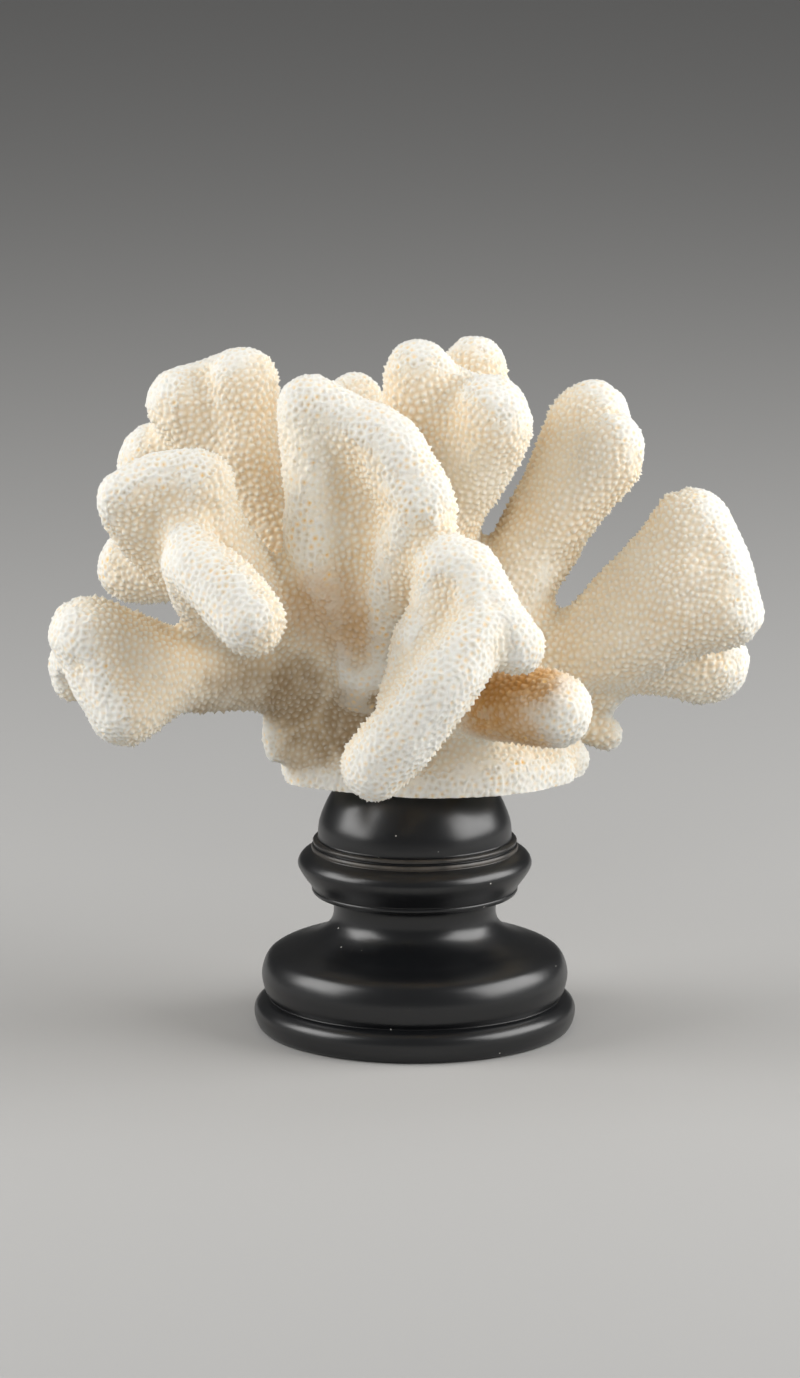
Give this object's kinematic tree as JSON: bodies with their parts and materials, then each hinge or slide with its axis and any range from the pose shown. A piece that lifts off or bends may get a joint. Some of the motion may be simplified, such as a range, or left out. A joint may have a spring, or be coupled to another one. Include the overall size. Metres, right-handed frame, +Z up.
{
  "type": "branching coral on a turned stand",
  "caption": "White branching coral with thick lobed branches, cut flat at the foot and resting on a small black lathe-turned display stand.",
  "frame": {"origin": "middle of the stand's flat underside", "axes": "+Z up along the stand's turned axis, +X to the right of the picture, +Y away from its viewer"},
  "size_m": [0.1684, 0.1208, 0.1652],
  "materials": {
    "coral": "matt, dry, cream-white coral skeleton, pitted at the tips and covered with fine spines on its sides",
    "lacquer": "black lacquer on turned wood, satin, with soft highlights and a little wear on the ring's edges"
  },
  "bodies": {
    "root": {"trunk": "coral", "left_arm": "coral", "left_paw": "coral", "left_finger": "coral", "back_left_knob": "coral", "upper_left_fan": "coral", "centre_fan": "coral", "far_tip": "coral", "top_fan": "coral", "right_finger": "coral", "right_paw": "coral", "front_hand": "coral", "front_lower_finger": "coral", "back_left_lobe": "coral", "back_right_lobe": "coral", "back_low_left": "coral", "back_centre_lobe": "coral", "stand": "lacquer"}
  },
  "joints": []
}
